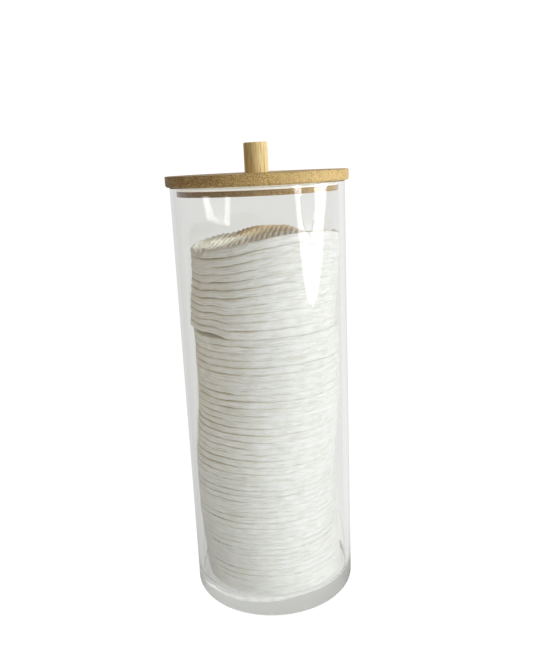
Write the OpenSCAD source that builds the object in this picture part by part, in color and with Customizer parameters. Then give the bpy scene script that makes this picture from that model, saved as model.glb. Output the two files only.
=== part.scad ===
// Cotton pad holder: a clear acrylic jar filled with a stack of round cotton pads, closed by a
// turned bamboo lid that has a silicone seal round its plug and a dowel knob on top.
// Millimetres. The jar stands on z = 0 with its axis along Z, and -Y is its front.

/* [Cotton pads] */
// Diameter of a cotton pad
pad_d = 57.5; // [50:0.5:70]
// Pads in the bottom layer, which is pressed flattest
bottom_pads = 22; // [16:1:22]
// Pads in the middle layer
middle_pads = 21; // [15:1:21]
// Pads in the loose top layer
top_pads = 11; // [7:1:11]
// Height that one pad takes up in the bottom layer
bottom_pad_t = 2.25; // [1.5:0.05:3.5]
// Height that one pad takes up in the middle layer
middle_pad_t = 2.65; // [1.8:0.05:3.8]
// Height that one pad takes up at the left of the top layer
top_pad_t = 2.85; // [2.2:0.05:4]
// Gap between the faces of two pads
pad_gap = 0.12; // [0.05:0.01:0.3]
// Width of the rounded edge round each face of a pad
pad_edge_w = 0.9; // [0.4:0.1:1.3]
// How far a face sinks across its rounded edge
pad_edge_drop = 0.3; // [0.1:0.05:0.5]
// How much higher the top layer is fluffed up right of its middle than at its left, at its front
crown_h = 5.6; // [2:0.1:9]
// The same at its back
crown_back_h = 3.6; // [1:0.1:8]
// How far the top layer sinks again from there to its right edge
crown_fall = 1.8; // [0:0.2:4]
// How far the left of the top layer tips to the front
left_tip_h = 0.6; // [0:0.1:1.5]
// Height of the gap under the left edge of the top layer
left_gap_h = 1.8; // [0:0.1:3]
// Height of the gentle swells that run through the whole stack
swell_h = 0.5; // [0:0.1:0.8]

/* [Jar] */
// Room all round between a centred pad and the bore
pad_play = 2.25; // [1.5:0.25:5]
// Closest that a pad comes to the wall
wall_gap = 0.3; // [0.2:0.05:0.6]
// Thickness of the wall
wall = 2; // [1.5:0.1:4]
// Thickness of the solid base
base_t = 6.5; // [3:0.5:12]
// Radius of the base's outer bottom edge
foot_round = 1; // [0.3:0.1:1.5]
// Radius inside, where the floor meets the bore
floor_round = 2; // [0.5:0.25:3]
// Radius of both edges of the polished rim
rim_round = 0.4; // [0.1:0.1:0.6]
// Free height between the crown of the stack and the lid's plug
head_room = 13; // [5:0.1:60]

/* [Lid] */
// Thickness of the lid's disc
lid_t = 4; // [3:0.5:8]
// How far the disc reaches past the jar's wall
lid_overhang = 1.5; // [0.5:0.25:4]
// Radius of the disc's lower edge
lid_low_round = 1; // [0.3:0.1:1.4]
// Radius of the disc's upper edge
lid_top_round = 0.3; // [0.1:0.1:1]
// Height of the plug under the disc
plug_h = 3.4; // [3:0.2:8]
// Room all round between the plug and the bore
plug_play = 0.5; // [0.3:0.1:1]
// Radius of the plug's lower edge
plug_round = 0.3; // [0.1:0.1:0.8]

/* [Seal] */
// Height of the seal and of its groove, directly under the disc
seal_h = 1.4; // [1:0.1:1.8]
// Depth of the groove in the plug
groove_depth = 1.5; // [1:0.1:3]
// Room between the seal and the bottom of its groove
seal_ease = 0.05; // [0.02:0.01:0.1]
// Room between the seal's lip and the bore
seal_play = 0.2; // [0.1:0.05:0.25]

/* [Knob] */
// Diameter of the dowel
knob_d = 9; // [8:0.5:16]
// Height of the knob over the disc
knob_h = 11; // [9:0.5:25]
// Radius of the knob's upper edge
knob_round = 0.4; // [0.1:0.1:1.5]

/* [Screw] */
// Diameter of the screw that holds the knob
screw_d = 3; // [2.5:0.1:4]
// Diameter of its countersunk head
screw_head_d = 6; // [5:0.2:7]
// Length of the screw inside the knob
screw_grip = 7; // [4:0.5:7.5]
// Room round the screw in its holes
screw_play = 0.05; // [0.03:0.01:0.1]
// Depth of the cross slot in the head
slot_depth = 1; // [0.6:0.1:1.2]
// Width of each arm of the cross slot
slot_w = 0.9; // [0.6:0.1:1.2]

/* [Hidden] */
// Facets of each turned outline
$fn = 96;
// How far a cut runs past the face that it opens
past = 1;
// Sides of a pad's outline
pad_sides = 20;
pads = bottom_pads + middle_pads + top_pads;
// Pads below the top layer
low_pads = bottom_pads + middle_pads;

pad_r = pad_d / 2;
bore_r = pad_r + pad_play;
jar_r = bore_r + wall;
// How far a pad can slide sideways before it meets the wall
slide = pad_play - wall_gap;
// What the common middle of two faces stays inside their rounded edges
core_margin = 0.6;
// The part of the faces that every pad has over and under its neighbours
core_r = pad_r - pad_play - pad_edge_w - core_margin;

low_stack_h = bottom_pads * bottom_pad_t + middle_pads * middle_pad_t;
crown_z = base_t + low_stack_h + top_pads * top_pad_t + crown_h;
plug_z = crown_z + head_room;
rim_z = plug_z + plug_h;
lid_top_z = rim_z + lid_t;
knob_top_z = lid_top_z + knob_h;

lid_r = jar_r + lid_overhang;
plug_r = bore_r - plug_play;
groove_r = plug_r - groove_depth;
seal_lip_r = plug_play - seal_play;

screw_r = screw_d / 2;
screw_head_r = screw_head_d / 2;
screw_hole_r = screw_r + screw_play;
screw_end_z = lid_top_z + screw_grip;
// The screw's point, and the hole past it
screw_point_h = 2;
blind_h = 0.5;

// Where the stack leans: a pad's number as a share of all, and its slide to the right as a share
// of the room it has. The top layer starts with a small jump back to the left.
LEAN = [[0, 0.15], [0.12, -0.35], [0.22, -0.85], [0.33, -1], [0.41, -0.95], [0.48, -0.45],
        [0.54, 0], [0.6, 0.45], [0.79, 0.5]];
TOP_LEAN = [[0, -0.2], [0.3, 0.1], [0.5, 0.45], [0.7, 0.85], [1, 0.95]];
// How far the pads wander to the front and back, as a share of the same room, and the angle
// between one pad's place and the next
WANDER = 0.2;
WANDER_TURN = 73;

// Where the top layer rises at its front and at its back, sinks again and gapes, as distances
// across it in pad radii
RISE = [-0.75, 0.5];
BACK_RISE = [-0.42, 0];
FALL = [0.42, 0.98];
GAPE = [-0.7, -0.42];

// The swells along X and along Y: degrees to a pad radius, degrees from one pad to the next, and
// degrees to start from
SWELL_X = [130, 9, 0];
SWELL_Y = [110, 7, 60];
// Pads over which the swells die out towards the floor
SETTLE = 6;

function pad_name(i) = str("pad_", i < 10 ? "0" : "", i);

// A smooth step from 0 to 1 as t goes from 0 to 1
function ease(t) = t <= 0 ? 0 : t >= 1 ? 1 : t * t * (3 - 2 * t);

// The flat height under pad k + 1, with the layers' own pitches added up
function level(k) =
    base_t
    + min(k, bottom_pads) * bottom_pad_t
    + max(0, min(k, low_pads) - bottom_pads) * middle_pad_t
    + max(0, k - low_pads) * top_pad_t;

// How far x is through a stretch across the stack, eased
function through(x, stretch) = ease((x / pad_r - stretch[0]) / (stretch[1] - stretch[0]));

function crown(x, y) =
    let (back = (y / pad_r + 1) / 2, rise = through(x, RISE + back * (BACK_RISE - RISE)))
    (crown_h + back * (crown_back_h - crown_h)) * rise
    + left_tip_h * y / pad_r * (1 - rise)
    - crown_fall * through(x, FALL);
function gape(x) = left_gap_h * (1 - through(x, GAPE));

// Long shallow waves that turn slowly from one pad to the next and die out at the floor
function wave(d, k, turns) = sin(d / pad_r * turns[0] + k * turns[1] + turns[2]);
function swell(x, y, k) = swell_h * min(1, k / SETTLE) * (wave(x, k, SWELL_X) + wave(y, k, SWELL_Y)) / 2;

// Height of the face over pad k, seen from the pads of the top layer or from those below it
function face_z(x, y, k, in_top) =
    let (share = max(0, k - low_pads) / top_pads)
    level(k) + swell(x, y, k) + share * crown(x, y) + (in_top ? (1 - share) * gape(x) : 0);

// Where pad i lies in the bore
function pad_x(i) =
    slide * (i > low_pads ? lookup((i - low_pads) / top_pads, TOP_LEAN) : lookup(i / pads, LEAN));
function pad_y(i) = slide * WANDER * sin(i * WANDER_TURN);

function outline(cx, cy, r) = [
    for (s = [0:pad_sides - 1])
        [cx + r * cos(s * 360 / pad_sides), cy + r * sin(s * 360 / pad_sides)]
];

// One closed ring of a pad's skin on a face, or a little above or below it
function ring(cx, cy, r, k, in_top, lift) =
    [for (p = outline(cx, cy, r)) [p.x, p.y, face_z(p.x, p.y, k, in_top) + lift]];

// The rim, halfway up between the two faces
function rim(cx, cy, r, i, in_top) = [
    for (p = outline(cx, cy, r))
        [p.x, p.y, (face_z(p.x, p.y, i - 1, in_top) + face_z(p.x, p.y, i, in_top)) / 2]
];

function fan(centre, first, up) = [
    for (s = [0:pad_sides - 1])
        let (a = first + s, b = first + (s + 1) % pad_sides)
        up ? [centre, b, a] : [centre, a, b]
];

function band(low, high) = [
    for (s = [0:pad_sides - 1], half = [0, 1])
        let (n = (s + 1) % pad_sides)
        half == 0 ? [low + s, high + s, high + n] : [low + s, high + n, low + n]
];

// A pad is a soft disc between two wavy faces, with a rounded edge. The uppermost one has a
// second ring on its free face, so that the face follows the crown.
module pad(i) {
    cx = pad_x(i);
    cy = pad_y(i);
    in_top = i > low_pads;
    half_gap = pad_gap / 2;
    edge_r = pad_r - pad_edge_w;
    uppermost = i > pads - 1;
    inner_r = core_r / 2;
    rings = [
        ring(0, 0, core_r, i - 1, in_top, half_gap),
        ring(cx, cy, edge_r, i - 1, in_top, pad_edge_drop),
        rim(cx, cy, pad_r, i, in_top),
        ring(cx, cy, edge_r, i, in_top, -pad_edge_drop),
        ring(0, 0, core_r, i, in_top, -half_gap),
        if (uppermost) ring(0, 0, inner_r, i, in_top, -half_gap)
    ];
    last = 1 + len(rings) * pad_sides;
    points = concat(
        [[0, 0, face_z(0, 0, i - 1, in_top) + half_gap]],
        [for (r = rings) each r],
        [[0, 0, face_z(0, 0, i, in_top) - half_gap]]
    );
    faces = concat(
        fan(0, 1, false),
        [for (j = [0:len(rings) - 2]) each band(1 + j * pad_sides, 1 + (j + 1) * pad_sides)],
        fan(last, last - pad_sides, true)
    );
    color([0.95, 0.94, 0.91]) polyhedron(points, faces, convexity = 4);
}

// The sliver outside a quarter circle, which rounds off the corner at the origin
module corner(r, right, up) {
    sx = right ? 1 : -1;
    sy = up ? 1 : -1;
    difference() {
        translate([sx > 0 ? -r : -past, sy > 0 ? -r : -past])
            square(r + past);
        translate([-sx * r, -sy * r])
            circle(r);
    }
}

// The jar's wall and thick base in one, cast in clear acrylic and polished
module jar() {
    color([0.86, 0.9, 0.9, 0.4])
        rotate_extrude()
            difference() {
                square([jar_r, rim_z]);
                bore_outline();
                translate([jar_r, 0])
                    corner(foot_round, true, false);
                translate([jar_r, rim_z])
                    corner(rim_round, true, true);
                translate([bore_r, rim_z])
                    corner(rim_round, false, true);
            }
}

module bore_outline() {
    difference() {
        translate([-past, base_t])
            square([bore_r + past, rim_z - base_t + past]);
        translate([bore_r, base_t])
            corner(floor_round, true, false);
    }
}

// The screw's outline from its flush head to its point, grown by the play for its hole
module screw_outline(play, end_z) {
    neck_z = plug_z + screw_head_r - screw_r;
    polygon([
        [0, plug_z], [screw_head_r + play, plug_z], [screw_r + play, neck_z],
        [screw_r + play, end_z - screw_point_h], [0, end_z]
    ]);
}

// The lid is turned from one bamboo board: a disc that covers the rim, and a plug with a groove
module lid() {
    color([0.79, 0.64, 0.4])
        rotate_extrude()
            difference() {
                union() {
                    translate([0, rim_z])
                        square([lid_r, lid_t]);
                    translate([0, plug_z])
                        square([plug_r, plug_h]);
                }
                translate([groove_r, rim_z - seal_h])
                    square([groove_depth + past, seal_h]);
                translate([lid_r, rim_z])
                    corner(lid_low_round, true, false);
                translate([lid_r, lid_top_z])
                    corner(lid_top_round, true, true);
                translate([plug_r, plug_z])
                    corner(plug_round, true, false);
                lid_screw_hole();
            }
}

module lid_screw_hole() {
    screw_outline(screw_play, screw_end_z);
    translate([0, plug_z - past])
        square([screw_head_r + screw_play, past]);
}

// A short upright dowel, drilled from below for its screw
module knob() {
    color([0.83, 0.7, 0.47])
        rotate_extrude()
            difference() {
                translate([0, lid_top_z])
                    square([knob_d / 2, knob_h]);
                translate([knob_d / 2, knob_top_z])
                    corner(knob_round, true, true);
                translate([0, lid_top_z - past])
                    square([screw_hole_r, screw_grip + blind_h + past]);
            }
}

// A silicone band that fills the groove, with one rounded lip that brushes the bore
module seal_ring() {
    color([0.93, 0.92, 0.87])
        rotate_extrude()
            union() {
                translate([groove_r + seal_ease, rim_z - seal_h])
                    square([groove_depth - seal_ease, seal_h]);
                translate([plug_r, rim_z - seal_h / 2])
                    circle(seal_lip_r);
            }
}

// A countersunk wood screw, driven from the plug's underside up into the knob
module knob_screw() {
    color([0.7, 0.7, 0.72])
        difference() {
            rotate_extrude()
                screw_outline(0, screw_end_z);
            for (turn = [0, 90])
                rotate([0, 0, turn])
                    translate([-screw_r, -slot_w / 2, plug_z - past])
                        cube([screw_d, slot_w, slot_depth + past]);
        }
}

jar();
lid();
knob();
seal_ring();
knob_screw();
for (i = [1:pads])
    pad(i);
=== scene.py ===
# Cotton pad holder, in metres, with Z up and -Y as its front. The sections follow the object as it
# is put together: the jar, the pads dropped into it, then the lid with its knob, screw and seal.
import math

import bpy
from mathutils import Matrix, Vector, noise


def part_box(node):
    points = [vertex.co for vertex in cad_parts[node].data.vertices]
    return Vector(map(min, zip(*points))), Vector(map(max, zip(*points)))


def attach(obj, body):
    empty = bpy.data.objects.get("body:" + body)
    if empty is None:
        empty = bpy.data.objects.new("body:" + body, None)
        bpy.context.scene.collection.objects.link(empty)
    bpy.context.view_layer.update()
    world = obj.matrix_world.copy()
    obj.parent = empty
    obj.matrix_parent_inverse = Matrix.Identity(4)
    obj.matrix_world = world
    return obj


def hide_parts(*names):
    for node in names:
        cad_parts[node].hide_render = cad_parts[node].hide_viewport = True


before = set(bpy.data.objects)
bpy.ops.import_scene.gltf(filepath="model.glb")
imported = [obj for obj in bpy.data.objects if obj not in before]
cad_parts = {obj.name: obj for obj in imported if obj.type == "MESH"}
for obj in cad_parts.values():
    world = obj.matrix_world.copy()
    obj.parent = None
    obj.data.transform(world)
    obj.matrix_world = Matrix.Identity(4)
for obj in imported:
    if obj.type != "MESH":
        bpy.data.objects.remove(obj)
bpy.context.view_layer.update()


# The jar. One straight cylinder of clear acrylic with a thick solid base, cast and polished. Its
# rim and its outer bottom edge are broken by a polishing wheel, and the bore is rounded into the
# floor. It stands on its base and holds everything else.
MM = 0.001
JAR_WALL = 2.0 * MM
JAR_BASE = 6.5 * MM
FOOT_ROUND = 1.0 * MM
FLOOR_ROUND = 2.0 * MM
RIM_ROUND = 0.4 * MM
# Straight stretches get a point this close to each bend, so that smooth shading stays flat on them
BEND_SUPPORT = 0.15 * MM
ROUND_STEPS = 6
FOOT_STEPS = 20
TURN_STEPS, JAR_STEPS = 180, 256
# A point this close to the axis lies on it
ON_AXIS = 1e-9
SHARP_ANGLE = math.radians(50)
# The underside and its edge are rubbed matt on the shelf: fully up to the first height, and not at
# all from the second
RUBBED_LOW, RUBBED_HIGH, RUBBED_ROUGH = 0.3 * MM, 1.2 * MM, 0.3
# The light has further to go through the solid base, which looks a little greyer and greener
BASE_TINT, WALL_TINT, TINT_BLEND = (0.885, 0.91, 0.892), (0.96, 0.964, 0.948), 1 * MM
# How many soft smears handling leaves on a metre of a hard surface
SMEARS = 9.0


def arc(centre, radius, start, end, steps=ROUND_STEPS):
    """Points of an outline along an arc, with its angles in degrees."""
    angles = [math.radians(start + (end - start) * s / steps) for s in range(steps + 1)]
    return [(centre[0] + radius * math.cos(a), centre[1] + radius * math.sin(a)) for a in angles]


def supported(outline):
    """The outline with an extra point near both ends of each long straight stretch."""
    out = [outline[0]]
    for p, q in zip(outline, outline[1:]):
        long = math.dist(p, q)
        if long > 8 * BEND_SUPPORT:
            for t in (BEND_SUPPORT / long, 1 - BEND_SUPPORT / long):
                out.append((p[0] + (q[0] - p[0]) * t, p[1] + (q[1] - p[1]) * t))
        out.append(q)
    return out


def mesh_object(name, points, faces, material, sharp=SHARP_ANGLE):
    """A smooth-shaded mesh of its own, creased only where its faces meet at a steep angle."""
    mesh = bpy.data.meshes.new(name)
    mesh.from_pydata(points, [], faces)
    mesh.polygons.foreach_set("use_smooth", [True] * len(mesh.polygons))
    mesh.set_sharp_from_angle(angle=sharp)
    mesh.materials.append(material)
    made = bpy.data.objects.new(name, mesh)
    bpy.context.scene.collection.objects.link(made)
    return made


def turned(name, outline, material, steps=TURN_STEPS):
    """A solid turned about Z from an outline of (radius, height), with the solid on its left."""
    points, rows, faces = [], [], []
    for r, z in outline:
        if r < ON_AXIS:
            rows.append([len(points)] * steps)
            points.append((0, 0, z))
            continue
        rows.append(list(range(len(points), len(points) + steps)))
        for s in range(steps):
            a = math.tau * s / steps
            points.append((r * math.cos(a), r * math.sin(a), z))
    closed = outline[0][0] > ON_AXIS
    pairs = list(zip(rows, rows[1:])) + ([(rows[-1], rows[0])] if closed else [])
    for low, high in pairs:
        for s in range(steps):
            n = (s + 1) % steps
            corners = [low[s], low[n], high[n], high[s]]
            faces.append([c for i, c in enumerate(corners) if c not in corners[:i]])
    return mesh_object(name, points, faces, material)


def node(tree, kind, inputs=(), **settings):
    """A shader node with its settings, and its inputs set to values or linked to sockets."""
    made = tree.nodes.new(kind)
    for key, value in settings.items():
        setattr(made, key, value)
    for key, value in dict(inputs).items():
        if isinstance(value, bpy.types.NodeSocket):
            tree.links.new(value, made.inputs[key])
        else:
            made.inputs[key].default_value = value
    return made


def effect(name, inputs, outputs):
    """An empty shader node group with named sockets: its tree, its input node and its output node."""
    tree = bpy.data.node_groups.new(name, "ShaderNodeTree")
    kinds = {"value": "NodeSocketFloat", "colour": "NodeSocketColor", "vector": "NodeSocketVector"}
    for label, kind, start in inputs:
        socket = tree.interface.new_socket(label, in_out="INPUT", socket_type=kinds[kind])
        if start is not None:
            socket.default_value = start
    for label, kind in outputs:
        tree.interface.new_socket(label, in_out="OUTPUT", socket_type=kinds[kind])
    return tree, tree.nodes.new("NodeGroupInput"), tree.nodes.new("NodeGroupOutput")


def use(tree, group, **inputs):
    """A shader node group placed in a material, with its own values."""
    return node(tree, "ShaderNodeGroup", inputs, node_tree=group)


def material(name):
    """A material with one Principled shader, its tree and that shader."""
    made = bpy.data.materials.new(name)
    made.use_nodes = True
    tree = made.node_tree
    return made, tree, tree.nodes["Principled BSDF"]


def surface(tree, shown):
    """What a material shows on its surface."""
    tree.links.new(shown.outputs[0], tree.nodes["Material Output"].inputs["Surface"])


def fixed(shader, values):
    """Inputs of a shader that are the same all over the surface."""
    for key, value in values.items():
        shader.inputs[key].default_value = value


def ramp(tree, value, stops):
    """A colour ramp over a value, from (place, colour) stops."""
    made = node(tree, "ShaderNodeValToRGB", {"Fac": value})
    elements = made.color_ramp.elements
    while len(elements) < len(stops):
        elements.new(0.5)
    for element, (place, colour) in zip(elements, stops):
        element.position, element.color = place, (*colour, 1)
    return made.outputs["Color"]


def maths(tree, operation, *values):
    """One step of arithmetic on values or sockets."""
    return node(tree, "ShaderNodeMath", dict(enumerate(values)), operation=operation).outputs[0]


def mapped(tree, value, low, high, to_low, to_high):
    """A value stretched from one range to another, and held inside it."""
    inputs = {"Value": value, "From Min": low, "From Max": high, "To Min": to_low, "To Max": to_high}
    return node(tree, "ShaderNodeMapRange", inputs).outputs["Result"]


def cloudy(tree, vector, scale, detail, **more):
    """Soft noise over a vector: how often it changes in a metre, how fine it gets, and the like."""
    inputs = {"Vector": vector, "Scale": scale, "Detail": detail, **more}
    return node(tree, "ShaderNodeTexNoise", inputs).outputs["Fac"]


def relief(tree, shader, height, strength, distance):
    """A fine relief on a shader, from a height."""
    bump = node(tree, "ShaderNodeBump", {"Height": height, "Strength": strength, "Distance": distance})
    tree.links.new(bump.outputs[0], shader.inputs["Normal"])


def place(tree, scale=(1, 1, 1), turn=0.0):
    """The point on the piece, in metres, turned about Z and then scaled along each axis."""
    here = node(tree, "ShaderNodeTexCoord").outputs["Object"]
    here = node(tree, "ShaderNodeMapping", {"Vector": here, "Rotation": (0, 0, turn)}).outputs[0]
    return node(tree, "ShaderNodeMapping", {"Vector": here, "Scale": scale}).outputs[0]


# Hairline marks and soft smears that handling leaves on a hard surface
wear, wear_in, wear_out = effect(
    "handling marks",
    [("Vector", "vector", None), ("Size", "value", 60.0)],
    [("Marks", "value"), ("Smears", "value")],
)
fine = cloudy(wear, wear_in.outputs["Vector"], wear_in.outputs["Size"], 6.0)
broad = cloudy(wear, wear_in.outputs["Vector"], SMEARS, 2.0)
wear.links.new(mapped(wear, fine, 0.56, 0.7, 0.0, 1.0), wear_out.inputs["Marks"])
wear.links.new(mapped(wear, broad, 0.4, 0.7, 0.0, 1.0), wear_out.inputs["Smears"])

jar_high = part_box("jar")[1]
jar_r, rim_z = jar_high.x, jar_high.z
bore_r = jar_r - JAR_WALL

acrylic, tree, shader = material("clear_acrylic")
marks = use(tree, wear, Vector=place(tree, (1, 1, 0.25)), Size=300.0)
rough = maths(tree, "ADD", maths(tree, "MULTIPLY", marks.outputs["Marks"], 0.02), 0.012)
rough = maths(tree, "ADD", rough, maths(tree, "MULTIPLY", marks.outputs["Smears"], 0.01))
height = node(tree, "ShaderNodeSeparateXYZ", {0: place(tree)}).outputs[2]
rubbed = mapped(tree, height, RUBBED_LOW, RUBBED_HIGH, RUBBED_ROUGH, 0.0)
tree.links.new(maths(tree, "ADD", rough, rubbed), shader.inputs["Roughness"])
# Polishing leaves the wall ever so slightly uneven round about
relief(tree, shader, cloudy(tree, place(tree, (40, 40, 3)), 1.0, 1.0), 0.04, 0.5 * MM)
depth = mapped(tree, height, JAR_BASE - TINT_BLEND, JAR_BASE + TINT_BLEND, 0, 1)
tree.links.new(ramp(tree, depth, [(0, BASE_TINT), (1, WALL_TINT)]), shader.inputs["Base Color"])
fixed(shader, {"Transmission Weight": 1.0, "IOR": 1.49})
# Daylight reaches the pads through the wall: shadows and the light that the pads pass on go
# straight through
through = node(tree, "ShaderNodeBsdfTransparent", {"Color": (0.95, 0.95, 0.95, 1)})
rays = node(tree, "ShaderNodeLightPath")
passing = maths(tree, "MAXIMUM", rays.outputs["Is Shadow Ray"], rays.outputs["Is Diffuse Ray"])
surface(tree, node(tree, "ShaderNodeMixShader", {0: passing, 1: shader.outputs[0], 2: through.outputs[0]}))

jar_outline = supported(
    [(0, 0)]
    + arc((jar_r - FOOT_ROUND, FOOT_ROUND), FOOT_ROUND, -90, 0, FOOT_STEPS)
    + arc((jar_r - RIM_ROUND, rim_z - RIM_ROUND), RIM_ROUND, 0, 90)
    + arc((bore_r + RIM_ROUND, rim_z - RIM_ROUND), RIM_ROUND, 90, 180)
    + arc((bore_r - FLOOR_ROUND, JAR_BASE + FLOOR_ROUND), FLOOR_ROUND, 0, -90, FOOT_STEPS)
    + [(0, JAR_BASE)]
)
jar = turned("acrylic_jar", jar_outline, acrylic, steps=JAR_STEPS)
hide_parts("jar")
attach(jar, "jar_body")


# The cotton pads. Soft discs of carded cotton, pressed between two embossed faces and cut out with
# a round die, lie on each other in three layers: squeezed flat at the bottom, looser above, and
# fluffed up at the top, where the stack rises to the right. Each one stands for its own solid.
BOTTOM_PADS, MIDDLE_PADS, TOP_PADS = 22, 21, 11
BOTTOM_PITCH, MIDDLE_PITCH, TOP_PITCH = 2.25, 2.65, 2.85
PAD_GAP = 0.1
CROWN_H, CROWN_BACK_H, CROWN_FALL, LEFT_TIP_H = 5.6, 3.6, 1.4, 0.6
LEFT_GAP_H, SWELL_H = 1.8, 0.5
RISE, BACK_RISE, FALL, GAPE = (-0.75, 0.5), (-0.42, 0.0), (0.8, 1.0), (-0.7, -0.42)
SWELL_X, SWELL_Y = (130, 9, 0), (110, 7, 60)
SETTLE = 6
# The pads of the top layer sag at their left end
SAG_H, SAG_FROM, SAG_TO = 1.2, -23.0, -16.0
LOW_PADS = BOTTOM_PADS + MIDDLE_PADS
PADS = LOW_PADS + TOP_PADS
# The ruffle of each face, shared with the pad on its other side, and the raggedness of the cut
RUFFLE, RUFFLE_WAVE = 0.42, 7.0
RAGGED = 0.22
# How far each face rounds off into the cut edge in the three layers, and how much warm painted shade their
# seams get
EDGE_W = (0.32, 0.6, 0.78)
SEAM_SHADE_BY_LAYER = (0.36, 0.74, 0.95)
# At the right the pads are pressed together along their edges, and their seams hardly show. Elsewhere
# they are pressed together in places. Where they are pressed, their seams get less painted shade.
LOOSE_RIGHT, LOOSE_LEAST = 0.12, 0.15
# The cut of the uppermost face is crisper
CRISP_EDGE = 0.3
# The two shallow lines that part the plies in the cut edge: their places from -1 at the lower face to
# 1 at the upper, each with a seed of its own, and their depth, half width and wander
PLY_LINES = ((-0.28, 3.0), (0.3, 8.0))
PLY_DEPTH, PLY_W, PLY_WANDER = 0.22, 0.16, 0.22
# How much smaller than its solid a pad is cut on average
CUT_IN = 0.1
PAD_SIDES, EDGE_ROWS = 200, 21
FACE_RINGS = (0.35, 0.7, 0.86, 0.95)
TOP_SIDES, TOP_RINGS = 540, 84
# The ribs pressed into the uppermost face, which others cross at the left, and which are flatter at
# the right
RIB_PITCH, RIB_H, RIB_SHARP = 2.0, 1.1, 0.7
RIB_SLANT, CROSS_SLANT = 0.08, -0.25
CROSSED_FROM, CROSSED_OVER, CROSSED_MOST, CROSS_SHARE = -15, 8, 0.7, 0.45
FLAT_FROM, FLAT_OVER, FLAT_MOST = -9, 9, 0.68
# They end short of its edge at the front and run out over it at the back, and fade over a stretch
RIBS_IN_FRONT, RIBS_IN_BACK, RIBS_FADE = 0.6, -0.4, 1.2
# The lip that the cut leaves round them, which runs out at the right, a dent in the edge, and the
# left end that droops
LIP_H, LIP_W, LIP_IN, LIP_END, LIP_OVER = 0.55, 0.8, 0.8, 4, 14
DENT_AT, DENT_W, DENT_H = (-23.4, -16.8), 5.0, 3.4
DROOP_H, DROOP_FROM, DROOP_TO = 0.9, -17.0, -25.0
# It sinks from its front edge towards its back at the right
SINK_SLOPE, SINK_MOST, SINK_FROM, SINK_OVER, SINK_IN = 0.14, 2.6, 11, 9, 1
# Behind a swell that curves across it, it gets the lid's painted shade, in warm cream, and less so again at
# the right
LID_SHADOW_FROM, LID_SHADOW_CURVE, LID_SHADOW_X, LID_SHADOW_FADE, LID_SHADOW_OVER = -16.5, 16, -6.5, 3.5, 3
LID_SHADOW_END, LID_SHADOW_END_OVER = 15, 6
# The lowest pad is rounded off to fit the rounded floor of the bore
FLOOR_EDGE_W = 0.9
# Inside the first radius all faces are centred on the jar, outside the second each on its own pad
CORE_FROM, CORE_TO = 12.5, 25.0


def ease(t):
    t = min(1.0, max(0.0, t))
    return t * t * (3 - 2 * t)


def through(x, stretch, pad_r):
    """How far x is through a stretch across the stack, eased."""
    return ease((x / pad_r - stretch[0]) / (stretch[1] - stretch[0]))


def crown(x, y, pad_r):
    """How much higher than its left end the top of the stack is at a point, in mm."""
    back = (y / pad_r + 1) / 2
    rise = through(x, [front + back * (rear - front) for front, rear in zip(RISE, BACK_RISE)], pad_r)
    height = (CROWN_H + back * (CROWN_BACK_H - CROWN_H)) * rise + LEFT_TIP_H * y / pad_r * (1 - rise)
    return height - CROWN_FALL * through(x, FALL, pad_r)


def face_height(x, y, k, in_top, pad_r):
    """The height in mm of the face over pad k, as the pads of the top layer or the others see it."""
    level = JAR_BASE / MM + min(k, BOTTOM_PADS) * BOTTOM_PITCH
    level += max(0, min(k, LOW_PADS) - BOTTOM_PADS) * MIDDLE_PITCH + max(0, k - LOW_PADS) * TOP_PITCH
    share = max(0, k - LOW_PADS) / TOP_PADS

    def wave(d, turns):
        return math.sin(math.radians(d / pad_r * turns[0] + k * turns[1] + turns[2]))

    gape = LEFT_GAP_H * (1 - through(x, GAPE, pad_r)) if in_top else 0
    settled = min(1, k / SETTLE)
    swell = SWELL_H * settled * (wave(x, SWELL_X) + wave(y, SWELL_Y)) / 2
    ruffle = noise.noise((x / RUFFLE_WAVE, y / RUFFLE_WAVE, k * 0.4)) * 0.7
    ruffle += noise.noise((x / 2.6, y / 2.6, k * 3.7)) * 0.3
    sag = SAG_H * math.sin(math.pi * share) * (1 - ease((x - SAG_FROM) / (SAG_TO - SAG_FROM)))
    level += swell + share * crown(x, y, pad_r) + (1 - share) * gape
    return level + RUFFLE * settled * ruffle - sag


def ribs(x, y):
    """The relief in mm of the uppermost face: rounded ribs, crossed by others at the left."""
    wander = 0.6 * noise.noise((x / 6, y / 9, 2.0))
    rib = abs(math.sin(math.pi * (x - RIB_SLANT * y + wander) / RIB_PITCH)) ** RIB_SHARP
    cross = abs(math.sin(math.pi * (x - CROSS_SLANT * y - wander) / RIB_PITCH)) ** RIB_SHARP
    crossed = CROSSED_MOST * ease((CROSSED_FROM - x) / CROSSED_OVER)
    uneven = 0.8 + 0.5 * noise.noise((x / 4, y / 7, 9.0))
    uneven *= 1 - FLAT_MOST * ease((x - FLAT_FROM) / FLAT_OVER)
    return RIB_H * uneven * (rib * (1 - CROSS_SHARE * crossed) + CROSS_SHARE * crossed * cross - 0.5)


def top_relief(x, y, r, pad_r):
    """How far in mm the uppermost face stands above or below its plain form, at a radius on its pad."""
    inside = ease((pad_r - (RIBS_IN_FRONT if y < 0 else RIBS_IN_BACK) - r) / RIBS_FADE)
    lip = LIP_H * max(0.0, 1 - abs(r - (pad_r - LIP_IN)) / LIP_W) * ease((LIP_END - x) / LIP_OVER)
    dent = DENT_H * max(0.0, 1 - math.hypot(x - DENT_AT[0], y - DENT_AT[1]) / DENT_W)
    behind = y + math.sqrt(max(0.0, pad_r**2 - x**2)) - SINK_IN
    sink = min(SINK_MOST, max(0.0, SINK_SLOPE * behind)) * ease((x - SINK_FROM) / SINK_OVER)
    droop = DROOP_H * ease((DROOP_FROM - x) / (DROOP_FROM - DROOP_TO))
    return inside * ribs(x, y) + lip - dent - sink - droop


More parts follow.
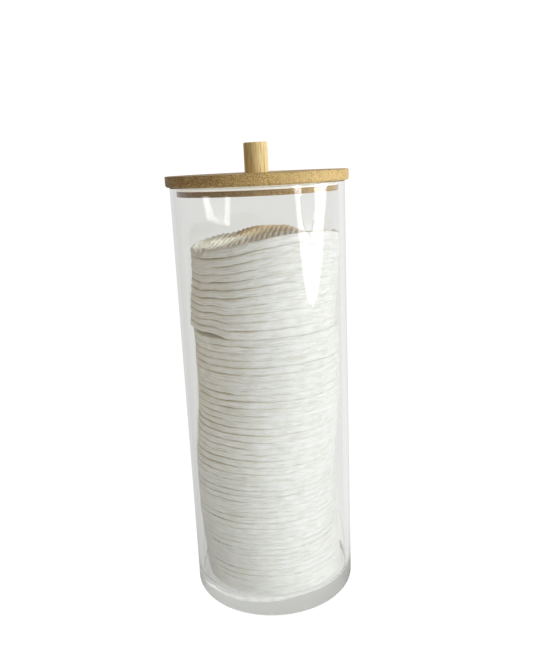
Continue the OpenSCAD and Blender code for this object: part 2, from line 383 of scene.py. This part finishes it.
def lid_shadow_behind_swell(x, y):
    """How much of the lid's painted shade the uppermost face gets at a point: only behind the swell that
    runs across it.
    """
    swell_y = LID_SHADOW_FROM + LID_SHADOW_CURVE * math.exp(-(x - LID_SHADOW_X) / LID_SHADOW_FADE)
    return ease((y - swell_y + 1) / LID_SHADOW_OVER) * (1 - ease((x - LID_SHADOW_END) / LID_SHADOW_END_OVER))


def cotton_pad(i, finish):
    """The mesh of pad i: a closed skin of rings, from the middle of one face to that of the other."""
    low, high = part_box(f"pad_{i:02d}")
    cx, cy = (low.x + high.x) / 2 / MM, (low.y + high.y) / 2 / MM
    pad_r = (high.x - low.x) / 2 / MM
    in_top, uppermost = i > LOW_PADS, i == PADS
    layer = 2 if in_top else 1 if i > BOTTOM_PADS else 0
    sides = TOP_SIDES if uppermost else PAD_SIDES
    top_rings = [s / (TOP_RINGS + 1) for s in range(1, TOP_RINGS + 1)] if uppermost else FACE_RINGS

    def on_face(x, y, k, sign, gap=PAD_GAP):
        """The height of the face over pad k at a point: its upper side for sign 1, its lower for -1."""
        z = face_height(x, y, k, in_top, pad_r) + sign * gap / 2
        if uppermost and sign < 0:
            z += top_relief(x, y, math.hypot(x - cx, y - cy), pad_r)
        return z

    points, rows, painted_shades, levels = [], [], [], []

    def add_ring(make, painted_shade, t):
        rows.append(list(range(len(points), len(points) + sides)))
        for s in range(sides):
            c, d = math.cos(math.tau * s / sides), math.sin(math.tau * s / sides)
            points.append(make(c, d))
            k = i - 1 if t < 0 else i
            # Painted shade in the seams between pads k and k + 1, less where they are pressed together; on
            # the uppermost face the lid's painted shade instead
            seam_shade_here = painted_shade * (SEAM_SHADE_BY_LAYER[layer] if k else 1) * loose(c, d, k)
            painted_shades.append(lid_shadow_behind_swell(*points[-1][:2]) if k == PADS else seam_shade_here)
            levels.append((i - 0.5 + t / 2) * MIDDLE_PITCH * MM)

    def reach(c, s):
        """How far the pad reaches out, in the direction of a cosine and a sine."""
        ragged = 0.6 * noise.noise((c * 2.2, s * 2.2, i * 3.1))
        ragged += 0.4 * noise.noise((c * 11, s * 11, i * 5.7))
        return pad_r - CUT_IN + RAGGED * ragged

    def loose(c, s, k):
        """How loosely pads k and k + 1 lie on each other along their edges, up to 1."""
        if k == 0:
            return 1.0
        patch = 0.66 + 1.1 * noise.noise((c * 3.1, s * 3.1, k * 1.9))
        patch += 0.6 * noise.noise((c * 10, s * 10, k * 4.1))
        return min(1, max(LOOSE_LEAST, patch)) * (1 + (LOOSE_RIGHT - 1) * ease((c + 0.75) / 1.3))

    def edge_w(c, s, k):
        if k == PADS:
            return CRISP_EDGE
        return EDGE_W[layer] * loose(c, s, k) if k else FLOOR_EDGE_W

    def face_ring(share, k, sign):
        def make(c, s):
            r = share * (reach(c, s) - edge_w(c, s, k))
            # Neighbours share the middle of their faces, so the rings slide out to the pad's own place
            lean = ease((share * pad_r - CORE_FROM) / (CORE_TO - CORE_FROM))
            x, y = cx * lean + r * c, cy * lean + r * s
            return (x, y, on_face(x, y, k, sign))
        return make

    def ply(c, s, t):
        """The depth of the shallow lines that part the plies in the cut edge."""
        deep = 0.0
        for line, seed in PLY_LINES:
            at = line + PLY_WANDER * noise.noise((c * 5, s * 5, i * 1.3 + seed))
            here = 0.5 + noise.noise((c * 3, s * 3, i * 2.9 + seed))
            deep = max(deep, max(0.0, here) * max(0.0, 1 - abs(t - at) / PLY_W))
        return PLY_DEPTH * deep

    def edge_ring(t):
        def make(c, s):
            k = i - 1 if t < 0 else i
            r = reach(c, s) - edge_w(c, s, k) * (1 - (1 - abs(t) ** 2.6) ** 0.5) - ply(c, s, t)
            x, y = cx + r * c, cy + r * s
            z_low = on_face(x, y, i - 1, 1, PAD_GAP * loose(c, s, i - 1))
            z_high = on_face(x, y, i, -1, PAD_GAP * loose(c, s, i))
            return (x, y, (z_low + z_high) / 2 + t * (z_high - z_low) / 2)
        return make

    points.append((0, 0, on_face(0, 0, i - 1, 1)))
    painted_shades.append(1)
    levels.append((i - 1) * MIDDLE_PITCH * MM)
    rows.append([0] * sides)
    for share in FACE_RINGS:
        add_ring(face_ring(share, i - 1, 1), 1, -1)
    for j in range(EDGE_ROWS):
        t = -1 + 2 * j / (EDGE_ROWS - 1)
        add_ring(edge_ring(math.copysign(abs(t) ** 0.75, t)), abs(t) ** 4, t)
    for share in reversed(top_rings):
        add_ring(face_ring(share, i, -1), 1, 1)
    rows.append([len(points)] * sides)
    painted_shades.append(lid_shadow_behind_swell(0, 0) if uppermost else 1)
    levels.append(i * MIDDLE_PITCH * MM)
    points.append((0, 0, on_face(0, 0, i, -1)))

    faces = []
    for below, above in zip(rows, rows[1:]):
        for s in range(sides):
            n = (s + 1) % sides
            corners = [below[s], below[n], above[n], above[s]]
            faces.append([c for j, c in enumerate(corners) if c not in corners[:j]])
    points = [(x * MM, y * MM, z * MM) for x, y, z in points]
    made = mesh_object(f"cotton_pad_{i:02d}", points, faces, finish, sharp=math.pi)
    made.data.attributes.new("painted_shade", "FLOAT", "POINT").data.foreach_set("value", painted_shades)
    made.data.attributes.new("level", "FLOAT", "POINT").data.foreach_set("value", levels)
    return made


# Loose lint: short fibres that lie across each other, with slightly denser and thinner tufts, and
# the fine lines along the cut where the web was folded over itself
lint, lint_in, lint_out = effect(
    "cotton lint",
    [("Vector", "vector", None), ("Fibre", "value", 2600.0)],
    [("Height", "value"), ("Tufts", "value"), ("Folds", "value")],
)
vector = lint_in.outputs["Vector"]
fibres = cloudy(lint, vector, lint_in.outputs["Fibre"], 4.0, Distortion=1.2)
tufts = cloudy(lint, vector, 260.0, 3.0)
flat = node(lint, "ShaderNodeMapping", {"Vector": vector, "Scale": (1, 1, 9)}).outputs[0]
folds = cloudy(lint, flat, 170.0, 3.0, Roughness=0.6)
height = maths(lint, "ADD", fibres, maths(lint, "MULTIPLY", tufts, 1.2))
height = maths(lint, "ADD", height, maths(lint, "MULTIPLY", folds, 3.0))
lint.links.new(height, lint_out.inputs["Height"])
lint.links.new(tufts, lint_out.inputs["Tufts"])
lint.links.new(folds, lint_out.inputs["Folds"])

CLEAN_WEB, THIN_WEB = (0.955, 0.955, 0.94), (0.89, 0.885, 0.85)
# The colours of the painted shade in the folds, and of the warm painted shade in the seams and under the
# lid
FOLD_SHADE, WARM_PAINTED_SHADE = (0.72, 0.7, 0.63, 1), (0.76, 0.69, 0.53, 1)

cotton, tree, shader = material("carded_cotton")
# Its folds follow the pad that they are in, so the lint is laid by the place in the stack and not by
# height
spot = node(tree, "ShaderNodeSeparateXYZ", {0: place(tree)}).outputs
level = node(tree, "ShaderNodeAttribute", attribute_name="level").outputs["Fac"]
spot = node(tree, "ShaderNodeCombineXYZ", {0: spot[0], 1: spot[1], 2: level}).outputs[0]
fluff = use(tree, lint, Vector=spot)
web = ramp(tree, fluff.outputs["Tufts"], [(0.3, THIN_WEB), (0.62, CLEAN_WEB)])
# Painted shade in the folds of the web
shaded = mapped(tree, fluff.outputs["Folds"], 0.5, 0.36, 0, 0.5)
web = node(tree, "ShaderNodeMix", {0: shaded, 6: web, 7: FOLD_SHADE}, data_type="RGBA").outputs[2]
# Painted shade: the web is darkened to a warm cream in the seams between the pads, for the shade there and
# the light passed from one to the other, most under the lowest pad, and behind the swell on the uppermost
# face, for the lid's shade.
painted_shade = node(tree, "ShaderNodeAttribute", attribute_name="painted_shade").outputs["Fac"]
web = node(tree, "ShaderNodeMix", {0: painted_shade, 6: web, 7: WARM_PAINTED_SHADE}, data_type="RGBA").outputs[2]
tree.links.new(web, shader.inputs["Base Color"])
tree.links.new(mapped(tree, fluff.outputs["Tufts"], 0.3, 0.7, 0.95, 0.85), shader.inputs["Roughness"])
relief(tree, shader, fluff.outputs["Height"], 0.8, 0.25 * MM)
fixed(shader, {"Sheen Weight": 0.2, "Sheen Roughness": 0.6, "Subsurface Weight": 0.2})
fixed(shader, {"Subsurface Radius": (1.0, 0.9, 0.75), "Subsurface Scale": 0.8 * MM})

for i in range(1, PADS + 1):
    pad = cotton_pad(i, cotton)
    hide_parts(f"pad_{i:02d}")
    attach(pad, "jar_body")


# The lid. A disc with a plug under it and a groove round the plug, turned in one from a board of
# pressed bamboo and left bare but for a thin coat of oil. It is loose on the rim and lifts off.
LID_LOW_ROUND = 1.0 * MM
LID_TOP_ROUND = 0.3 * MM
PLUG_ROUND = 0.3 * MM
PLUG_PLAY = 0.5 * MM
GROOVE_H = 1.4 * MM
GROOVE_DEPTH = 1.5 * MM
SCREW_HOLE_R = 1.55 * MM
SCREW_SINK_R = 3.05 * MM
BOARD_TURN = math.radians(-20)
# Painted shade on the plug, which the disc shades: how much darker the bamboo is below the rim
UNDER_DISC_SHADE = 0.3
# How much longer the fibres are in the split dowel than in the pressed board
DOWEL_GRAIN = 0.25
# The strips that the board is glued from: where each starts across it, and how dark it is. They go from
# darkest at the left to lightest at the right.
BOARD_STRIPS = [
    (0.0, 0.68), (0.035, 0.66), (0.045, 0.5), (0.16, 0.42), (0.175, 0.34), (0.33, 0.24),
    (0.345, 0.19), (0.6, 0.1), (0.615, 0.01), (0.8, -0.03), (1.0, -0.04),
]
LIGHT_PITH, DARK_BUNDLES = (0.78, 0.56, 0.235, 1), (0.24, 0.135, 0.045, 1)

# Bamboo in the solid: thin dark fibre bundles along the grain, pores of light and dark pith
# between them, and glued strips of slightly different tone. The grain runs along the vector's Y.
bamboo_grain, grain_in, grain_out = effect(
    "bamboo grain",
    [("Vector", "vector", None), ("Light", "colour", LIGHT_PITH), ("Dark", "colour", DARK_BUNDLES),
     ("Flecks", "value", 0.8), ("Tone", "value", 0.0)],
    [("Colour", "colour"), ("Roughness", "value"), ("Height", "value")],
)
vector = grain_in.outputs["Vector"]
along = node(bamboo_grain, "ShaderNodeMapping", {"Vector": vector, "Scale": (1, 0.12, 1)}).outputs[0]
bundles = cloudy(bamboo_grain, along, 3400.0, 2.0, Roughness=0.7)
pith = cloudy(bamboo_grain, along, 1300.0, 3.0, Roughness=0.65)
flecks = mapped(bamboo_grain, bundles, 0.42, 0.62, 0.0, 1.0)
flecks = maths(bamboo_grain, "MULTIPLY", flecks, grain_in.outputs["Flecks"])
tone = maths(bamboo_grain, "ADD", mapped(bamboo_grain, pith, 0.3, 0.7, -0.2, 0.24), flecks)
tone = maths(bamboo_grain, "ADD", tone, grain_in.outputs["Tone"])
tones = {0: tone, 6: grain_in.outputs["Light"], 7: grain_in.outputs["Dark"]}
mix = node(bamboo_grain, "ShaderNodeMix", tones, data_type="RGBA")
rough = mapped(bamboo_grain, bundles, 0.3, 0.7, 0.42, 0.62)
bamboo_grain.links.new(mix.outputs[2], grain_out.inputs["Colour"])
bamboo_grain.links.new(rough, grain_out.inputs["Roughness"])
bamboo_grain.links.new(maths(bamboo_grain, "SUBTRACT", 1.0, flecks), grain_out.inputs["Height"])


def bamboo(name, turn, strips, strip_span, upright=False, shaded_below=None, **values):
    """A bamboo finish: its grain lies at an angle to X, or stands along Z, and strips of several tones
    lie side by side across it. Below a height it is darker with painted shade, where the disc shades the
    plug."""
    made, tree, shader = material(name)
    here = place(tree, turn=turn)
    parts = node(tree, "ShaderNodeSeparateXYZ", {0: here}).outputs
    across = mapped(tree, parts[0], -strip_span, strip_span, 0, 1)
    tone = ramp(tree, across, [(at, (t, t, t)) for at, t in strips])
    if shaded_below is not None:
        # Painted shade below the rim, where the disc shades the plug
        plug_shade = maths(tree, "MULTIPLY", maths(tree, "LESS_THAN", parts[2], shaded_below), UNDER_DISC_SHADE)
        tone = maths(tree, "ADD", tone, plug_shade)
    if upright:
        long = maths(tree, "MULTIPLY", parts[2], DOWEL_GRAIN)
        here = node(tree, "ShaderNodeCombineXYZ", {0: parts[0], 1: long, 2: parts[1]}).outputs[0]
    grain = use(tree, bamboo_grain, Vector=here, Tone=tone, **values)
    tree.links.new(grain.outputs["Colour"], shader.inputs["Base Color"])
    tree.links.new(grain.outputs["Roughness"], shader.inputs["Roughness"])
    relief(tree, shader, grain.outputs["Height"], 0.35, 0.1 * MM)
    fixed(shader, {"Specular IOR Level": 0.35})
    return made


lid_low, lid_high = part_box("lid")
lid_r, lid_top_z, plug_z = lid_high.x, lid_high.z, lid_low.z
plug_r = bore_r - PLUG_PLAY
groove_r = plug_r - GROOVE_DEPTH
sink_h = SCREW_SINK_R - SCREW_HOLE_R
lid_outline = supported(
    [(SCREW_SINK_R, plug_z)]
    + arc((plug_r - PLUG_ROUND, plug_z + PLUG_ROUND), PLUG_ROUND, -90, 0)
    + [(plug_r, rim_z - GROOVE_H), (groove_r, rim_z - GROOVE_H), (groove_r, rim_z)]
    + arc((lid_r - LID_LOW_ROUND, rim_z + LID_LOW_ROUND), LID_LOW_ROUND, -90, 0)
    + arc((lid_r - LID_TOP_ROUND, lid_top_z - LID_TOP_ROUND), LID_TOP_ROUND, 0, 90)
    + [(SCREW_HOLE_R, lid_top_z), (SCREW_HOLE_R, plug_z + sink_h)]
)
board = bamboo("bamboo_board", BOARD_TURN, BOARD_STRIPS, lid_r, shaded_below=rim_z)
lid = turned("bamboo_lid", lid_outline, board)
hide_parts("lid")
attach(lid, "lid_body")


# The knob. A short length of bamboo dowel that stands on the lid with its grain upright, its top
# edge just broken with sandpaper. The screw pulls it down onto the disc.
KNOB_ROUND = 0.4 * MM
# Darker and lighter streaks across the dowel, which run up it
DOWEL_STREAKS = [
    (0.0, 0.08), (0.1, 0.14), (0.2, -0.04), (0.3, 0.14), (0.36, -0.06), (0.45, 0.09),
    (0.5, -0.08), (0.58, 0.06), (0.62, -0.04), (0.74, 0.05), (0.8, 0.0), (1.0, 0.0),
]
DOWEL_LIGHT, DOWEL_FLECKS = (0.98, 0.78, 0.4, 1), 0.4
DOWEL_STEPS = 96
PILOT_DEPTH = 7.5 * MM

knob_low, knob_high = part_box("knob")
knob_r = knob_high.x
knob_outline = supported(
    [(SCREW_HOLE_R, knob_low.z), (knob_r, knob_low.z)]
    + arc((knob_r - KNOB_ROUND, knob_high.z - KNOB_ROUND), KNOB_ROUND, 0, 90)
    + [(0, knob_high.z)]
)
knob_outline = [(0, knob_low.z + PILOT_DEPTH), (SCREW_HOLE_R, knob_low.z + PILOT_DEPTH)] + knob_outline
dowel = bamboo(
    "bamboo_dowel", 0.0, DOWEL_STREAKS, knob_r, upright=True, Light=DOWEL_LIGHT, Flecks=DOWEL_FLECKS
)
knob = turned("bamboo_knob", knob_outline, dowel, steps=DOWEL_STEPS)
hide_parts("knob")
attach(knob, "lid_body")


# The screw. A countersunk wood screw of plated steel with a cross slot, driven up through the plug
# into the knob. Its head shows only when the lid is lifted. The solid itself is shown.
BRIGHT_STEEL, MARKED_STEEL = (0.52, 0.52, 0.53), (0.36, 0.35, 0.34)

steel, tree, shader = material("plated_steel")
marks = use(tree, wear, Vector=place(tree), Size=2500.0).outputs["Marks"]
fixed(shader, {"Metallic": 1.0})
tree.links.new(ramp(tree, marks, [(0.0, BRIGHT_STEEL), (1.0, MARKED_STEEL)]), shader.inputs["Base Color"])
tree.links.new(mapped(tree, marks, 0, 1, 0.28, 0.5), shader.inputs["Roughness"])
relief(tree, shader, marks, 0.15, 0.05 * MM)
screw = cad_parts["knob_screw"]
screw.data.materials.clear()
screw.data.materials.append(steel)


# The seal. A band of milky silicone, moulded with one rounded lip and stretched into the groove
# round the plug, right under the disc. The lip brushes the bore and holds the lid centred.
SEAL_EASE = 0.05 * MM
SEAL_LIP_R = 0.3 * MM
SEAL_EDGE = 0.12 * MM
EDGE_STEPS, LIP_STEPS = 3, 8
HAZE, CLEAR_BAND = (0.93, 0.92, 0.87), (0.97, 0.965, 0.93)

silicone, tree, shader = material("milky_silicone")
haze = cloudy(tree, place(tree), 420.0, 2.0)
tree.links.new(ramp(tree, haze, [(0.3, HAZE), (0.7, CLEAR_BAND)]), shader.inputs["Base Color"])
tree.links.new(mapped(tree, haze, 0.3, 0.7, 0.34, 0.46), shader.inputs["Roughness"])
relief(tree, shader, haze, 0.1, 0.1 * MM)
fixed(shader, {"Subsurface Weight": 0.15, "Subsurface Scale": 0.6 * MM})
fixed(shader, {"Subsurface Radius": (1.0, 0.95, 0.85)})
# Painted glow: the band gives off a faint light of its own, for the daylight that the polished rim carries
# into it
fixed(shader, {"Emission Color": (1.0, 0.96, 0.87, 1), "Emission Strength": 0.26})

seal_low, seal_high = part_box("seal_ring")
seal_mid = (seal_low.z + seal_high.z) / 2
seal_in = groove_r + SEAL_EASE
seal_outline = supported(
    arc((plug_r - SEAL_EDGE, seal_low.z + SEAL_EDGE), SEAL_EDGE, -90, 0, EDGE_STEPS)
    + arc((plug_r, seal_mid), SEAL_LIP_R, -90, 90, LIP_STEPS)
    + arc((plug_r - SEAL_EDGE, seal_high.z - SEAL_EDGE), SEAL_EDGE, 0, 90, EDGE_STEPS)
    + arc((seal_in + SEAL_EDGE, seal_high.z - SEAL_EDGE), SEAL_EDGE, 90, 180, EDGE_STEPS)
    + arc((seal_in + SEAL_EDGE, seal_low.z + SEAL_EDGE), SEAL_EDGE, 180, 270, EDGE_STEPS)
)
seal = turned("silicone_seal", seal_outline, silicone)
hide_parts("seal_ring")
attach(seal, "lid_body")


# The camera. It stands a little above the lid and looks down the front of the jar, held a little
# crooked, so the jar leans in the picture. Its place was fitted to the edges in the photo.
CAMERA_PLACE = (0.0, -256.3 * MM, 171.8 * MM)
CAMERA_DOWN, CAMERA_YAW, CAMERA_ROLL = math.radians(14.32), math.radians(-0.207), math.radians(-2.66)
PICTURE_W, PICTURE_H, FOCAL_PIXELS = 533, 666, 660.04
SENSOR = 36.0

camera_data = bpy.data.cameras.new("camera")
camera_data.sensor_width = SENSOR
camera_data.lens = SENSOR * FOCAL_PIXELS / PICTURE_H
camera_data.clip_start, camera_data.clip_end = 0.01, 50.0
camera = bpy.data.objects.new("camera", camera_data)
bpy.context.scene.collection.objects.link(camera)
facing = Matrix.Rotation(CAMERA_YAW, 4, "Z") @ Matrix.Rotation(math.pi / 2 - CAMERA_DOWN, 4, "X")
camera.matrix_world = Matrix.Translation(CAMERA_PLACE) @ facing @ Matrix.Rotation(CAMERA_ROLL, 4, "Z")
bpy.context.scene.camera = camera


# The studio. A white floor and a white surround that go out of sight in each other. Their light on
# the piece is dimmer than they look and falls off to the left, so that the clear wall stands out
# from them, and one large soft light stands at the right, a little above the stack.
FLOOR_SIZE = 12.0
# The base stands on a film of air, which makes its underside mirror
FLOOR_GAP = 0.2 * MM
SEEN = 1.05
# How bright the surround is through the clear wall at the far left and right, and in its gloss, which
# shows the dimmer front of the studio in the middle and its sides along the jar's edges
THROUGH_LEFT, THROUGH_RIGHT = 0.7, 0.98
UNDER_LEFT, UNDER_RIGHT = 0.68, 0.96
GLOSS_FRONT, GLOSS_SIDE = 0.12, 0.6
GLOSS_LEFT, GLOSS_RIGHT = 1.0, 1.35
# The light that it throws on the cotton and the bamboo, from below and from above
SOFT_LOW, SOFT_HIGH = 0.1, 0.62
SOFT_LEFT, SOFT_RIGHT = 0.74, 1.1
WARM_SOFT = (1.0, 0.94, 0.8, 1)

# Where a direction lies from the left to the right, from the front to the back and upwards
SIDE_RANGE, DEPTH_RANGE, HEIGHT_RANGE = (-0.8, 0.8), (-0.3, 0.8), (0.0, 1.0)

surround, surround_in, surround_out = effect(
    "surround", [("Vector", "vector", None)], [("Side", "value"), ("Depth", "value"), ("Height", "value")]
)
facing = node(surround, "ShaderNodeVectorMath", {0: surround_in.outputs["Vector"]}, operation="NORMALIZE")
parts = node(surround, "ShaderNodeSeparateXYZ", {0: facing.outputs[0]}).outputs
for part, name, ends in zip(parts, ("Side", "Depth", "Height"), (SIDE_RANGE, DEPTH_RANGE, HEIGHT_RANGE)):
    surround.links.new(mapped(surround, part, *ends, 0.0, 1.0), surround_out.inputs[name])


def by_ray(tree, vector, lit, through_left, through_right):
    """The surround's brightness: what the camera sees, what glass shows and mirrors, and its light."""
    rays = node(tree, "ShaderNodeLightPath")
    where = use(tree, surround, Vector=vector)
    side = where.outputs["Side"]
    through_wall = mapped(tree, side, 0, 1, through_left, through_right)
    in_gloss = mapped(tree, where.outputs["Depth"], 0, 1, GLOSS_FRONT, GLOSS_SIDE)
    in_gloss = maths(tree, "MULTIPLY", in_gloss, mapped(tree, side, 0, 1, GLOSS_LEFT, GLOSS_RIGHT))
    if lit is None:
        lit = mapped(tree, where.outputs["Height"], 0, 1, SOFT_LOW, SOFT_HIGH)
        lit = maths(tree, "MULTIPLY", lit, mapped(tree, side, 0, 1, SOFT_LEFT, SOFT_RIGHT))
    bright = lit
    by = {"Is Glossy Ray": in_gloss, "Is Transmission Ray": through_wall, "Is Camera Ray": SEEN}
    for ray, shown in by.items():
        bright = node(tree, "ShaderNodeMix", {0: rays.outputs[ray], 2: bright, 3: shown}).outputs[0]
    return bright


floor_paint, tree, shader = material("white_floor")
grain = cloudy(tree, place(tree), 90.0, 3.0)
tree.links.new(ramp(tree, grain, [(0.3, (0.8,) * 3), (0.7, (0.83,) * 3)]), shader.inputs["Base Color"])
fixed(shader, {"Roughness": 0.9})
glow = node(tree, "ShaderNodeEmission", {"Color": by_ray(tree, place(tree), 0.0, UNDER_LEFT, UNDER_RIGHT)})
rays = node(tree, "ShaderNodeLightPath")
shown = maths(tree, "MAXIMUM", rays.outputs["Is Camera Ray"], rays.outputs["Is Transmission Ray"])
shown = maths(tree, "MAXIMUM", shown, rays.outputs["Is Glossy Ray"])
surface(tree, node(tree, "ShaderNodeMixShader", {0: shown, 1: shader.outputs[0], 2: glow.outputs[0]}))
half = FLOOR_SIZE / 2
corners = [(-half, -half), (half, -half), (half, half), (-half, half)]
floor = mesh_object("floor", [(x, y, -FLOOR_GAP) for x, y in corners], [(0, 1, 2, 3)], floor_paint)

world = bpy.data.worlds.new("studio")
bpy.context.scene.world = world
world.use_nodes = True
tree = world.node_tree
background = tree.nodes["Background"]
direction = node(tree, "ShaderNodeTexCoord").outputs["Generated"]
diffuse = node(tree, "ShaderNodeLightPath").outputs["Is Diffuse Ray"]
tint = node(tree, "ShaderNodeMix", {0: diffuse, 6: (1, 1, 1, 1), 7: WARM_SOFT}, data_type="RGBA")
bright = by_ray(tree, direction, None, THROUGH_LEFT, THROUGH_RIGHT)
sky = node(tree, "ShaderNodeVectorMath", {0: tint.outputs[2], "Scale": bright}, operation="SCALE")
tree.links.new(sky.outputs[0], background.inputs["Color"])


def soft_light(name, at, aim, size, power, colour, spread=180):
    """A lamp with a flat face, its power in watts and its spread in degrees. No polished wall shows it."""
    data = bpy.data.lights.new(name, "AREA")
    data.shape, data.size, data.size_y = "RECTANGLE", size[0], size[1]
    data.energy, data.color, data.spread = power, colour, math.radians(spread)
    lamp = bpy.data.objects.new(name, data)
    bpy.context.scene.collection.objects.link(lamp)
    facing = (Vector(aim) - Vector(at)).to_track_quat("-Z", "Y").to_matrix().to_4x4()
    lamp.matrix_world = Matrix.Translation(at) @ facing
    lamp.visible_glossy = False
    lamp.visible_camera = False
    lamp.visible_transmission = False


soft_light("key", (1.0, -0.47, 0.5), (0, 0, 0.1), (0.5, 0.28), 10.7, (0.96, 1.0, 1.03))
# What the pale floor in front of the jar throws back at its lower half, and a little warmth at the left
soft_light("low", (-0.02, -0.2, 0.012), (-0.004, 0, 0.02), (0.24, 0.02), 0.11, (0.93, 1.0, 1.03))
soft_light("warm_left", (-0.35, -0.02, 0.16), (-0.03, 0, 0.104), (0.1, 0.1), 0.005, (1.0, 0.7, 0.32), 24)
# What the lid throws down onto the uppermost pad, paler at the left and warm from the oiled plug
# behind, and the light that gathers in the thick base
over_left, over_back = (-0.015, -0.001, 0.1609), (0.006, 0.014, 0.1612)
soft_light("left", over_left, (-0.015, -0.004, 0.1435), (0.026, 0.022), 0.0019, (0.95, 1.0, 0.86), 120)
soft_light("plug", over_back, (0.006, 0.016, 0.14), (0.02, 0.012), 0.0004, (1.0, 0.64, 0.28), 90)
soft_light("base", (0, 0, 0.003), (0, 0, 0.1), (0.052, 0.052), 0.003, (1.0, 1.0, 0.97))
# A low light behind keeps the back of the stack from going dark
soft_light("back", (0.15, 0.9, 0.06), (0, 0, 0.075), (0.6, 0.1), 5.0, (1.0, 1.0, 0.98))

# Two bright windows, which only the jar's polished wall mirrors. Each is drawn by where its mirror
# image falls in the picture, as rows of pixels: row, left end, right end and brightness. The light
# of the floor's front edge is mirrored low on the base, and goes by columns: column, top, bottom
# and brightness.
WINDOW_RIGHT = [
    [(179, 292.5, 299.5, 2), (190, 294.6, 301, 2), (197, 295.3, 301.3, 1), (220, 297.4, 303.2, 1),
     (231, 298.4, 306, 1), (243, 299.8, 311.5, 1)],
    [(181, 319.5, 328.5, 1.6), (185, 315.5, 326.8, 2), (190, 314, 325.7, 2), (197, 315, 325.6, 1),
     (209, 315, 325, 1), (220, 313.2, 323.7, 1), (231, 311.5, 323, 1), (243, 311.5, 323, 1)],
    [(182, 299.8, 317, 0.08), (197, 301.3, 315, 0.12), (220, 303.2, 313.2, 0.22), (231, 306, 311.5, 0.5)],
    [(243, 299.8, 323, 1), (262, 302, 321.5, 1), (284, 304.7, 319, 1), (300, 308, 315.5, 0.9),
     (307, 312.4, 313.6, 0.5)],
]
WINDOW_LEFT = [
    [(196.5, 202.6, 208.7, 0.9), (205, 204.3, 210.5, 0.9), (212.5, 205.6, 213.7, 0.8),
     (218, 206.4, 217, 0.7), (221.5, 208, 219, 0.2)],
    [(196.5, 224.8, 230, 0.8), (205, 225, 230, 0.8), (212.5, 224.5, 230, 0.8), (218, 223, 230, 0.8),
     (226, 226, 230, 0.5)],
    [(196.5, 208.7, 224.8, 0.05), (212.5, 213.7, 224.5, 0.15), (218, 217, 223, 0.3),
     (223, 213, 229, 0.45), (225, 224, 229.6, 0.3)],
]
FLOOR_EDGE = [
    [(205, 578.5, 580.5, 0), (214, 585.2, 587.6, 0.3), (222, 590.5, 593, 0.25), (231, 594, 597, 0.3),
     (241, 596.4, 600, 0.5), (247, 597.2, 601, 0.32), (254, 597.8, 601.6, 0.55), (260, 598, 601.8, 0.35),
     (266, 598.2, 601.8, 0.6), (273, 597.8, 601.4, 0.3), (279, 597, 600.6, 0.52), (288, 595.4, 598.6, 0.28),
     (299, 592.6, 595.4, 0.2), (312, 588, 590.6, 0.15), (326, 582, 584, 0)],
]
WINDOW_AWAY, FLOOR_EDGE_AWAY, WINDOW_GLOW, SOFT_PIXELS = 0.28, 0.036, 7.5, 1.2


def mirrored(px, py, away):
    """The point of the window's surface that the jar's wall mirrors at a pixel of the picture."""
    aim = Vector(((px - PICTURE_W / 2) / FOCAL_PIXELS, (PICTURE_H / 2 - py) / FOCAL_PIXELS, -1))
    ray = (camera.matrix_world.to_3x3() @ aim).normalized()
    start = Vector(CAMERA_PLACE)

    def meet(start, ray, r, far):
        a, b = ray.x**2 + ray.y**2, start.x * ray.x + start.y * ray.y
        root = math.sqrt(max(0.0, b * b - a * (start.x**2 + start.y**2 - r * r)))
        return start + ray * ((-b + (root if far else -root)) / a)

    on_wall = meet(start, ray, jar_r, False)
    normal = Vector((on_wall.x, on_wall.y, 0)).normalized()
    return meet(on_wall, ray - 2 * ray.dot(normal) * normal, away, True)


def window(name, panes, away=WINDOW_AWAY, by_column=False):
    """A window on a tall round surface that far from the jar's axis, seen in gloss alone."""
    points, faces, glows = [], [], []
    for rows in panes:
        for j, (line, start, end, bright) in enumerate(rows):
            soft = min(SOFT_PIXELS, (end - start) / 3)
            ends = ((start - soft, 0), (start + soft, bright), (end - soft, bright), (end + soft, 0))
            for at, glow_here in ends:
                points.append(mirrored(line, at, away) if by_column else mirrored(at, line, away))
                glows.append(glow_here)
            if j:
                n = len(points)
                faces += [(n - 8 + c, n - 7 + c, n - 3 + c, n - 4 + c) for c in range(3)]
    card, tree, shader = material(name)
    amount = node(tree, "ShaderNodeAttribute", attribute_name="glow").outputs["Fac"]
    lit = node(tree, "ShaderNodeEmission", {"Color": amount, "Strength": WINDOW_GLOW})
    clear = node(tree, "ShaderNodeBsdfTransparent")
    surface(tree, node(tree, "ShaderNodeAddShader", {0: lit.outputs[0], 1: clear.outputs[0]}))
    made = mesh_object(name, points, faces, card)
    layer = made.data.attributes.new("glow", "FLOAT", "POINT")
    layer.data.foreach_set("value", glows)
    for kind in ("camera", "diffuse", "transmission", "shadow", "volume_scatter"):
        setattr(made, f"visible_{kind}", False)


window("right_window", WINDOW_RIGHT)
window("left_window", WINDOW_LEFT)
window("floor_edge", FLOOR_EDGE, FLOOR_EDGE_AWAY, by_column=True)

scene = bpy.context.scene
scene.view_settings.view_transform = "Standard"
# Light passes to and fro in the thick base many times before it leaves
MOST_BOUNCES, GLOSSY_BOUNCES = 32, 24
scene.cycles.max_bounces = MOST_BOUNCES
scene.cycles.transmission_bounces = MOST_BOUNCES
scene.cycles.transparent_max_bounces = MOST_BOUNCES
scene.cycles.glossy_bounces = GLOSSY_BOUNCES
